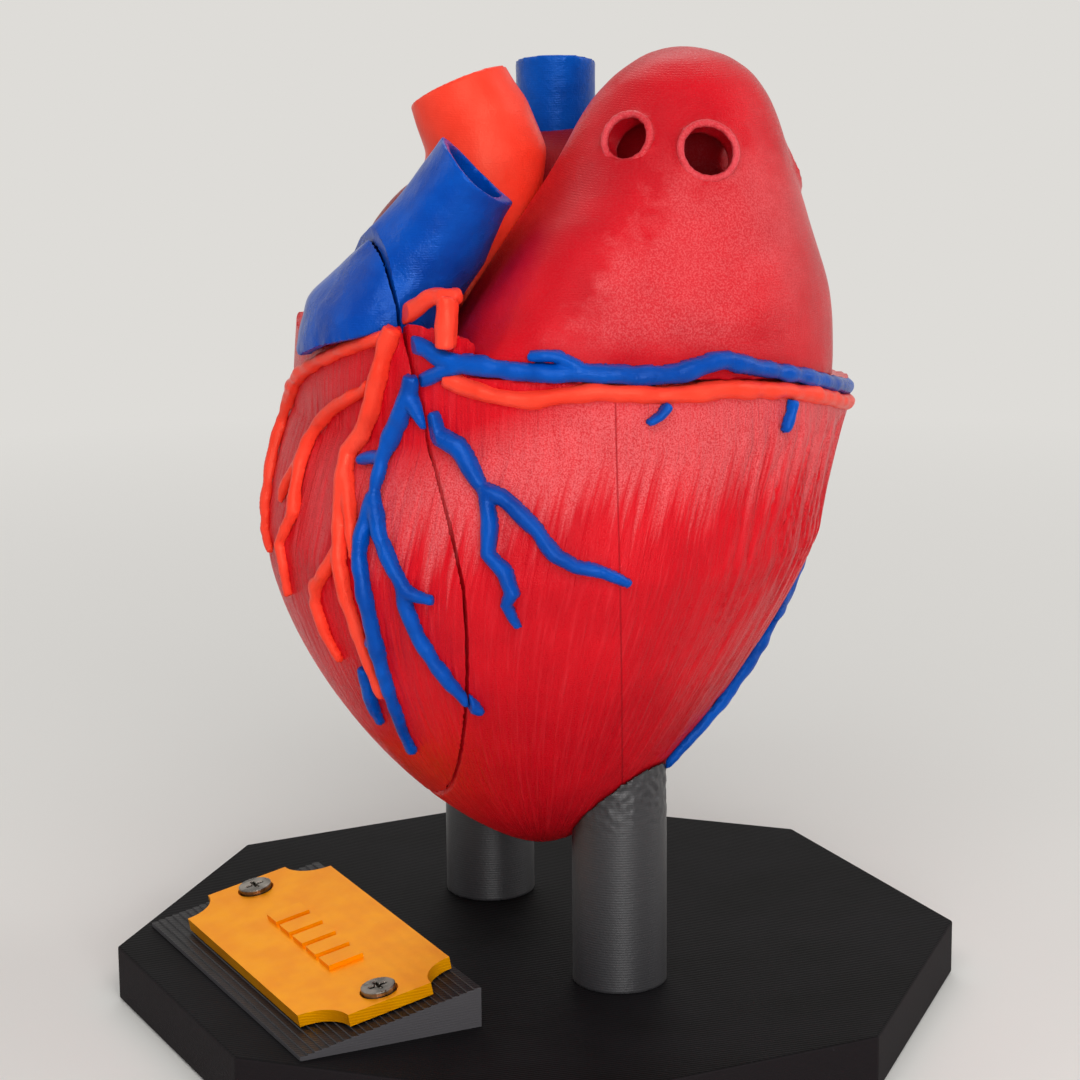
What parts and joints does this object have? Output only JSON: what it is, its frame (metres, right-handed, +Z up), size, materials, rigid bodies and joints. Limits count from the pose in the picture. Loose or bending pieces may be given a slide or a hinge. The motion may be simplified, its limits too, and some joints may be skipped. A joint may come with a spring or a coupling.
{
  "type": "human heart anatomy model",
  "caption": "Printed anatomical heart with raised vessels that lifts off two posts, its front wall pulling away to show the chambers, on an octagonal base with a sloped nameplate.",
  "frame": {"origin": "centre of the octagonal base, on the surface that it stands on", "axes": "+Z up; -Y towards the nameplate and the front wall; +X towards the heart's left ventricle"},
  "size_m": [0.14, 0.14, 0.1701],
  "materials": {
    "red_print": "satin",
    "dark_red_print": "satin",
    "coral_print": "satin",
    "blue_print": "satin",
    "black_print": "satin",
    "gold_print": "glossy",
    "screw_steel": "dark nickel",
    "magnet_steel": "plated"
  },
  "bodies": {
    "stand": {"base_plate": "black_print", "support_post_left": "black_print", "support_post_right": "black_print", "nameplate_wedge": "black_print", "nameplate": "gold_print", "nameplate_screw_left": "screw_steel", "nameplate_screw_right": "screw_steel"},
    "heart": {"ventricle_body": "red_print", "left_atrium": "red_print", "right_atrium": "dark_red_print", "aorta": "coral_print", "superior_vena_cava": "blue_print", "inferior_vena_cava": "blue_print", "pulmonary_trunk": "blue_print", "great_cardiac_vein": "blue_print", "circumflex_artery": "coral_print", "left_main_artery": "coral_print", "right_coronary_artery": "coral_print", "lateral_vein": "blue_print", "seam_vein": "blue_print", "marginal_vein_left": "blue_print", "marginal_vein_right": "blue_print", "posterior_vein": "blue_print", "middle_cardiac_vein": "blue_print", "posterior_artery": "coral_print", "rear_magnet_1": "magnet_steel", "rear_magnet_2": "magnet_steel", "rear_magnet_3": "magnet_steel", "rear_magnet_4": "magnet_steel"},
    "front_cover": {"front_wall": "red_print", "pulmonary_cone": "blue_print", "anterior_artery": "coral_print", "outer_artery": "coral_print", "middle_artery": "coral_print", "anterior_vein": "blue_print", "lower_vein": "blue_print", "front_magnet_1": "magnet_steel", "front_magnet_2": "magnet_steel", "front_magnet_3": "magnet_steel", "front_magnet_4": "magnet_steel"}
  },
  "joints": [
    {"name": "heart_lift", "type": "slide", "parent": "stand", "child": "heart", "axis": [0, 0, 1], "range_m": [0, 0.05]},
    {"name": "front_wall_pull", "type": "slide", "parent": "heart", "child": "front_cover", "axis": [-0.1096, -0.994, 0], "range_m": [0, 0.06]}
  ]
}
